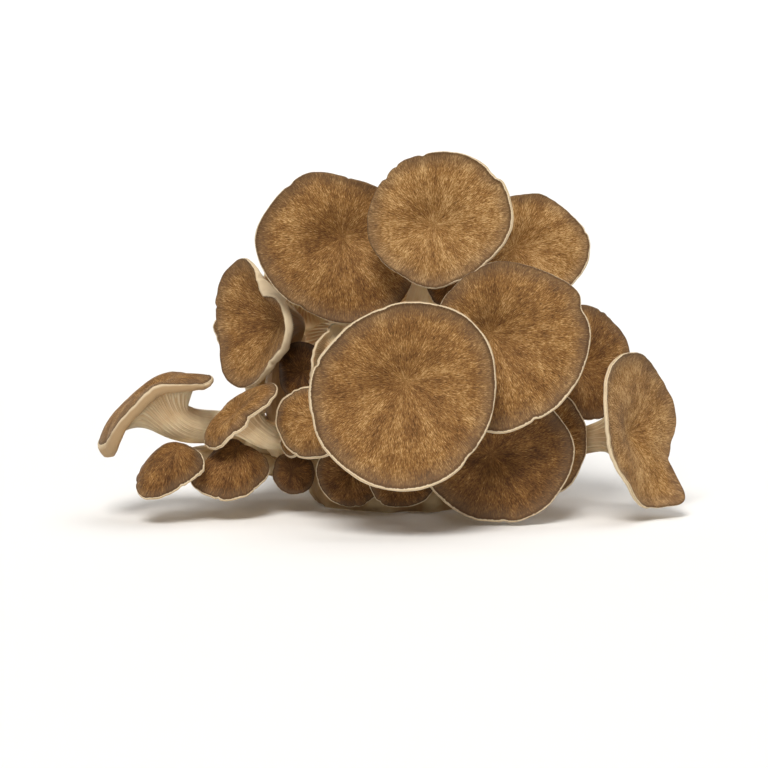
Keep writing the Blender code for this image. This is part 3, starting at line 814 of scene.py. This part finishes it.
    def frame(self) -> tuple[np.ndarray, np.ndarray, np.ndarray]:
        """The cap's right, up and facing as unit vectors."""
        azimuth, rise = (math.radians(x) for x in self.measures.facing)
        level = np.array((math.sin(azimuth), -math.cos(azimuth), 0.0))
        facing = level * math.cos(rise) + np.array((0.0, 0.0, math.sin(rise)))
        right = np.array((math.cos(azimuth), math.sin(azimuth), 0.0))
        return right, np.cross(facing, right), facing

    def gill_ridges(self, out: float) -> np.ndarray:
        """How far each point under the cap is up a gill, where short gills start only further out.

        Args:
            out: Share of the way from neck to edge.

        Returns:
            From 0 in a groove to 1 on a gill's edge, at each angle.
        """
        gill = np.arange(self.gills)
        starts = np.where(gill % 4 == 0, -1.0, np.where(gill % 4 == 2, 0.27, 0.55)) + self.starts
        there = smooth(0.0, 0.09, out - starts)
        ridges = np.zeros_like(self.angles)
        ridges[::self.steps_per_gill] = there
        return ridges

    def cap_rings(self) -> None:
        """Draws the rings over the skin, round the edge and down the gills to the neck."""
        spec = self.measures
        right, up, facing = self.frame()
        navel = np.array(spec.navel, float)
        around = np.outer(np.cos(self.angles), right) + np.outer(np.sin(self.angles), up)
        swell = self.bells(spec.swells)
        bulge = self.bulge * spec.thick + self.swell_bulge * swell
        reach = self.outline() - bulge
        mean = float(reach.mean())
        scale = min(1.0, mean / self.narrow_below)
        margin = self.outer_rings[0] * scale / mean
        shares = list(np.linspace(0.0, 1 - margin, self.inner_rings + 1))
        shares += [1 - mm * scale / mean for mm in self.outer_rings[1:]]
        lift = self.ripple(0.3 * spec.ragged, (7, 11, 16, 21, 29))
        bare = spec.bare + self.ripple(0.3, (2, 3, 5, 8, 13))
        bare = bare + spec.swing * np.cos(self.angles - math.radians(spec.pale_side))
        sways = [self.ripple(0.3, (2, 3, 4, 6)) for _ in range(3)]
        pit_depth = self.dimple * min(1.0, mean / self.dimple_below)

        def place(radius: np.ndarray, height: np.ndarray) -> np.ndarray:
            """Points at each angle, from the distance to the navel and the height along the facing."""
            return navel + radius[:, None] * around + height[:, None] * facing

        def skin(share: np.ndarray) -> np.ndarray:
            """Height of the skin with its fine unevenness."""
            uneven = sum(sway * np.sin(math.pi * (k + 1) * share) for k, sway in enumerate(sways))
            pit = pit_depth * np.exp(-((share / self.dimple_width) ** 2))
            return self.skin_height(share) + uneven * share + lift * share**8 - pit

        for share in shares:
            at = np.full_like(self.angles, share)
            away = (1 - share) * reach
            lip = spec.lip * np.maximum(0.0, 1 - away / self.lip_width) ** 2
            inwards = away / min(1.0, mean / self.margin_below)
            self.ring(place(reach * share, skin(at) + lip * scale), reach * share, inwards - bare, 1.0, 0.0)
        rim = np.ones_like(self.angles)
        even = self.edge * spec.thick * (1 + self.ripple(0.12, (3, 5, 8, 12)))
        thick = even + swell
        raised = spec.lip * scale
        middle = skin(rim) + raised - thick / 2
        for turn in self.rim_turns:
            angle = math.radians(turn)
            radius = reach + bulge * math.cos(angle)
            round_edge = (math.pi / 2 - angle) * thick / 2
            height = middle + thick / 2 * math.sin(angle)
            brown = spec.felt * smooth(*self.felt_turn, round_edge)
            self.ring(place(radius, height), radius, -round_edge - bare, 1.0, brown)
        self.skin_end = len(self.points) - 1
        neck = spec.stature.neck
        gills = [spec.gills_to + share for share in self.gill_fade]
        shades = [spec.gills_to + share for share in self.shade_fade]
        for out in self.under_rings:
            radius = neck + (reach - neck) * out
            flesh = even + swell * out + spec.stature.flare * (1 - out) ** spec.late
            ridges = self.gill_ridges(out)
            deep = np.minimum(self.gill_depth, self.gill_share * flesh)
            deep = deep * smooth(*gills, out) * smooth(*self.neck_fade, out)
            grooves = (1 - ridges) * deep
            height = skin(radius / reach) + raised * smooth(0.8, 1.0, out) - flesh + grooves
            # how far up a gill each point lies, which sets the painted shade in the grooves
            shown = 1 - (1 - ridges) * smooth(*shades, out)
            brown = spec.felt * smooth(spec.gills_to - 0.3, 0.8, out)
            # painted shade on the gills towards the stem
            brown = max(brown, spec.painted_inner_shade * smooth(1.0, 0.6, out))
            self.ring(place(radius, height), radius, radius - reach - 1.0, shown, brown)
        self.neck_ring = len(self.points) - 1

    def stem_points(self) -> None:
        """Draws the rings down the stem, each turned as little as it can be from the last, and its end."""
        spec = self.measures
        right, up, facing = (Vector(axis) for axis in self.frame())
        neck = Vector(spec.navel) - (self.edge + spec.stature.flare) * facing
        root = Vector(spec.root)
        length = (neck - root).length
        low, high = (share * length for share in spec.bend)
        bends = (root, root + low * Vector(spec.leaves).normalized(), neck - high * facing, neck)
        last = facing
        fibres = self.ripple(0.16, (5, 8, 13, 19))
        for t in np.linspace(1.0, 0.0, self.stem_rings + 1)[1:].tolist():
            s = 1 - t
            shares = (s**3, 3 * s * s * t, 3 * s * t * t, t**3)
            centre = sum((share * bend for share, bend in zip(shares, bends)), Vector())
            steps = (after - before for before, after in zip(bends, bends[1:]))
            along = sum((share * step for share, step in zip((s * s, 2 * s * t, t * t), steps)), Vector())
            along.normalize()
            turn = last.rotation_difference(along)
            right, up, last = turn @ right, turn @ up, along
            ridges = self.gill_ridges(0.0)
            decurrent = self.stem_gills * smooth(0.55, 0.95, t)
            radius = spec.stature.foot + (spec.stature.neck - spec.stature.foot) * t**3 + fibres
            swell = self.neck_swell * math.exp(-((t * length / self.neck_swell_run) ** 2))
            radius = radius + decurrent * (ridges - 0.5) + swell
            around = np.outer(np.cos(self.angles), right) + np.outer(np.sin(self.angles), up)
            # painted shade in the grooves between the gills that run down the stem
            shown = 1 - (1 - ridges) * 0.7 * smooth(0.5, 1.0, t)
            # the stem darkens with painted shade, and with its own browning towards the root
            brown = max(spec.painted_inner_shade, spec.stain_and_shade * smooth(1.0, 0.6, t))
            self.ring(np.array(centre) + radius[:, None] * around, s * length, self.under_cap, shown, brown)
        end = np.tile(np.array(root), (len(self.angles), 1))
        self.ring(end, length, self.under_cap, 1.0, brown)

    def ring(
        self,
        points: np.ndarray,
        run: np.ndarray | float,
        edge: np.ndarray | float,
        ridge: np.ndarray | float,
        brown: np.ndarray | float,
    ) -> None:
        """Keeps one ring of points and what its finish needs.

        Args:
            points: Place of each point.
            run: Distance from the navel, or down the stem, of each.
            edge: Distance inwards from the cap's edge, below 0 under the cap.
            ridge: How far up a gill each lies.
            brown: How brown the flesh is at each, from its own staining and from painted shade.
        """
        self.points.append(points)
        for kept, value in ((self.runs, run), (self.edges, edge), (self.ridges, ridge), (self.browns_and_shades, brown)):
            kept.append(np.broadcast_to(value, self.angles.shape))

    def blank(self) -> bpy.types.Mesh:
        """Spins a plain blank with as many rings and points as the mushroom has, closed at both ends.

        Returns:
            A mesh whose points lie at their ring's number, turned by their angle.
        """
        mesh = bmesh.new()
        last = len(self.points) - 1
        line = [mesh.verts.new((0.0 if i in (0, last) else 1.0, 0.0, -float(i))) for i in range(last + 1)]
        edges = [mesh.edges.new(pair) for pair in zip(line, line[1:])]
        bmesh.ops.spin(
            mesh, geom=line + edges, cent=(0, 0, 0), axis=(0, 0, 1), angle=math.tau, steps=len(self.angles),
            use_merge=True, use_normal_flip=False,
        )
        bmesh.ops.remove_doubles(mesh, verts=mesh.verts, dist=1e-5)
        bmesh.ops.recalc_face_normals(mesh, faces=mesh.faces)
        return finished(mesh, self.measures.name + "_skin")

    def build(self, skin: bpy.types.Material, flesh: bpy.types.Material) -> bpy.types.Object:
        """Makes the mushroom, in place of its solid.

        Args:
            skin: Finish of the cap's skin.
            flesh: Finish of its edge, gills and stem.

        Returns:
            The finished piece.
        """
        self.cap_rings()
        self.stem_points()
        points = np.array(self.points)
        first, last = self.neck_ring - self.neck_blend, self.neck_ring + self.neck_blend
        for _ in range(self.blend_rounds):
            beside = points[first - 1:last - 1] + points[first + 1:last + 1]
            points[first:last] = 0.5 * points[first:last] + 0.25 * beside

        data = self.blank()
        flat = np.empty(len(data.vertices) * 3)
        data.vertices.foreach_get("co", flat)
        x, y, z = flat.reshape(-1, 3).T
        ring = np.rint(-z).astype(int)
        turn = np.arctan2(y, x) % math.tau / math.tau
        step = np.rint(turn * len(self.angles)).astype(int) % len(self.angles)
        data.vertices.foreach_set("co", (points[ring, step] * MM).ravel())

        run = np.array(self.runs)[ring, step]
        middle = np.hypot(x, y) > 0.5
        angle = self.angles[step]
        grain = np.stack((np.cos(angle) * middle, np.sin(angle) * middle, run), axis=1)
        data.attributes.new("grain", "FLOAT_VECTOR", "POINT").data.foreach_set("vector", grain.ravel())
        values = {"tone": np.full(len(ring), self.measures.tone.value)}
        for name, kept in (("edge", self.edges), ("ridge", self.ridges), ("brown", self.browns_and_shades)):
            values[name] = np.array(kept)[ring, step]
        for name, value in values.items():
            data.attributes.new(name, "FLOAT", "POINT").data.foreach_set("value", value)

        corners = np.empty(len(data.loops), int)
        data.loops.foreach_get("vertex_index", corners)
        starts = np.empty(len(data.polygons), int)
        data.polygons.foreach_get("loop_start", starts)
        lowest = np.minimum.reduceat(ring[corners], starts)
        data.materials.append(skin)
        data.materials.append(flesh)
        data.polygons.foreach_set("material_index", (lowest >= self.skin_end).astype(np.int32))
        data.shade_smooth()
        data.update()
        piece = add_object(self.measures.name + "_dressed", data)
        dress(piece, self.measures.name)
        return piece


@dataclass
class Butt:
    """The common butt: three lumps grown into one, creased, felted, and cut flat underneath."""

    lumps: tuple = (
        ((0, 0, 14), (48, 30, 32)),
        ((-54, -2, 30), (40, 19, 18)),
        ((50, -4, 24), (26, 20, 18)),
    )
    sides: int = 48
    voxel: float = 1.6
    folds: float = 1.6  # depth of the large folds
    fold_size: float = 14.0
    pits: float = 0.5  # depth of the small pits
    pit_size: float = 4.0

    def grown(self) -> bmesh.types.BMesh:
        """Grows the lumps together.

        Returns:
            One closed mesh with even faces.
        """
        mesh = bmesh.new()
        for middle, radii in self.lumps:
            size = Matrix.Diagonal([(radius - self.folds / 2) * MM for radius in radii]).to_4x4()
            place = Matrix.Translation(Vector(middle) * MM) @ size
            bmesh.ops.create_uvsphere(
                mesh, u_segments=self.sides, v_segments=self.sides // 2, radius=1.0, matrix=place
            )
        lumps = add_object("lumps", finished(mesh, "lumps"))
        remesh = lumps.modifiers.new("grown", "REMESH")
        remesh.mode = "VOXEL"
        remesh.voxel_size = self.voxel * MM
        shaped = bmesh.new()
        shaped.from_object(lumps, bpy.context.evaluated_depsgraph_get())
        bpy.data.objects.remove(lumps)
        bmesh.ops.smooth_vert(
            shaped, verts=shaped.verts, factor=0.5, use_axis_x=True, use_axis_y=True, use_axis_z=True
        )
        return shaped

    def build(self, finish: bpy.types.Material) -> bpy.types.Object:
        """Makes the butt, in place of its solid.

        Args:
            finish: Its material.

        Returns:
            The finished piece.
        """
        mesh = self.grown()
        mesh.normal_update()
        crease = mesh.verts.layers.float.new("crease")
        moves = []
        for vertex in mesh.verts:
            at = vertex.co / MM
            fold = noise.turbulence(at / self.fold_size, 3, False) - 0.5
            pit = noise.noise(at / self.pit_size)
            moves.append(vertex.normal * (fold * self.folds * 2 + pit * self.pits) * MM)
            # how deep the point lies in a crease or pit, for the painted shade there
            vertex[crease] = 0.5 - fold - 0.4 * pit
        for vertex, move in zip(mesh.verts, moves):
            vertex.co += move
        everything = mesh.verts[:] + mesh.edges[:] + mesh.faces[:]
        bmesh.ops.bisect_plane(
            mesh, geom=everything, dist=1e-6, plane_co=(0, 0, 0), plane_no=(0, 0, -1), clear_outer=True
        )
        opened = [e for e in mesh.edges if len(e.link_faces) == 1]
        bmesh.ops.triangle_fill(mesh, edges=opened, use_beauty=True)
        bmesh.ops.recalc_face_normals(mesh, faces=mesh.faces)
        data = finished(mesh, "butt")
        data.materials.append(finish)
        data.shade_smooth()
        data.set_sharp_from_angle(angle=math.radians(55))
        piece = add_object("base_butt", data)
        dress(piece, "base")
        return piece


@dataclass(frozen=True)
class FarLight:
    """One large soft light, far enough off to be even."""

    name: str
    place: tuple  # where it shines from
    width: float  # degrees across, as the cluster sees it
    strength: float
    colour: str = "#ffffff"


@dataclass
class Studio:
    """A round pale paper sweep, soft light and the camera. Lengths are in metres."""

    target: tuple = (-0.008, 0.0, 0.061)
    elevation: float = 8.0
    distance: float = 2.0
    view_width: float = 0.384  # what the picture takes in at the target
    sensor: float = 36.0
    level: float = 3.4  # how far the paper lies level, all round
    bend: float = 0.8  # radius of the sweep's bend
    top: float = 1.3  # height of its edge, under the lights
    bend_steps: int = 16
    round_steps: int = 96
    surround: float = 0.08
    lights: tuple = (
        FarLight("key_light", (-0.2, -1.0, 1.15), 24.0, 2.8, "#fffdfa"),
        FarLight("top_light", (0.25, 0.1, 1.0), 50.0, 1.1),
        FarLight("fill_light", (0.7, -1.0, 0.2), 30.0, 0.5),
    )

    def camera(self) -> None:
        """Sets the camera at the picture's angle."""
        rise = math.radians(self.elevation)
        back = Vector((0.0, -math.cos(rise), math.sin(rise)))
        data = bpy.data.cameras.new("camera")
        data.sensor_width = self.sensor
        data.lens = self.sensor * self.distance / self.view_width
        camera = add_object("camera", data)
        camera.location = Vector(self.target) + back * self.distance
        camera.rotation_euler = back.to_track_quat("Z", "Y").to_euler()
        bpy.context.scene.camera = camera

    def paper(self, finish: bpy.types.Material) -> None:
        """Rolls out the paper: level under the cluster, then bent up all round.

        Args:
            finish: Its material.
        """
        mesh = bmesh.new()
        turns = [math.pi / 2 * i / self.bend_steps for i in range(self.bend_steps + 1)]
        line = [(0.0, 0.0), (self.level / 4, 0.0)]
        line += [(self.level + self.bend * math.sin(t), self.bend * (1 - math.cos(t))) for t in turns]
        line.append((self.level + self.bend, self.top))
        points = [mesh.verts.new((x, 0.0, z)) for x, z in line]
        edges = [mesh.edges.new(pair) for pair in zip(points, points[1:])]
        bmesh.ops.spin(
            mesh, geom=points + edges, cent=(0, 0, 0), axis=(0, 0, 1), angle=math.tau, steps=self.round_steps,
            use_merge=True,
        )
        bmesh.ops.remove_doubles(mesh, verts=mesh.verts, dist=1e-5)
        bmesh.ops.recalc_face_normals(mesh, faces=mesh.faces)
        mesh.faces.ensure_lookup_table()
        if mesh.faces[0].normal.z < 0:
            bmesh.ops.reverse_faces(mesh, faces=mesh.faces)
        data = finished(mesh, "paper_sweep")
        data.materials.append(finish)
        data.shade_smooth()
        add_object("paper_sweep", data)

    def light(self) -> None:
        """Hangs the soft lights and sets the surrounding light."""
        for box in self.lights:
            data = bpy.data.lights.new(box.name, "SUN")
            data.angle = math.radians(box.width)
            data.energy = box.strength
            data.color = linear(box.colour)[:3]
            lamp = add_object(box.name, data)
            lamp.location = box.place
            lamp.rotation_euler = Vector(box.place).to_track_quat("Z", "Y").to_euler()
        world = bpy.data.worlds.new("soft_surround")
        world.use_nodes = True
        shade = world.node_tree.nodes["Background"]
        shade.inputs["Color"].default_value = linear("#ffffff")
        shade.inputs["Strength"].default_value = self.surround
        bpy.context.scene.world = world
        bpy.context.scene.view_settings.view_transform = "Standard"

    def build(self) -> None:
        """Sets up the whole studio."""
        self.camera()
        self.paper(MattPaper().material())
        self.light()


def main() -> None:
    """Builds the studio, the butt and every mushroom."""
    logging.basicConfig(level=logging.INFO, format="%(name)s: %(message)s")
    Studio().build()
    Butt().build(ButtFlesh().material())
    skin = VelvetSkin().material()
    flesh = GilledFlesh().material()
    faces = 0
    for number, measures in enumerate(MUSHROOMS):
        faces += len(FruitBody(measures, number).build(skin, flesh).data.polygons)
    log.info("%d mushrooms, %d faces", len(MUSHROOMS), faces)
    bpy.context.view_layer.update()


if __name__ == "__main__":
    main()
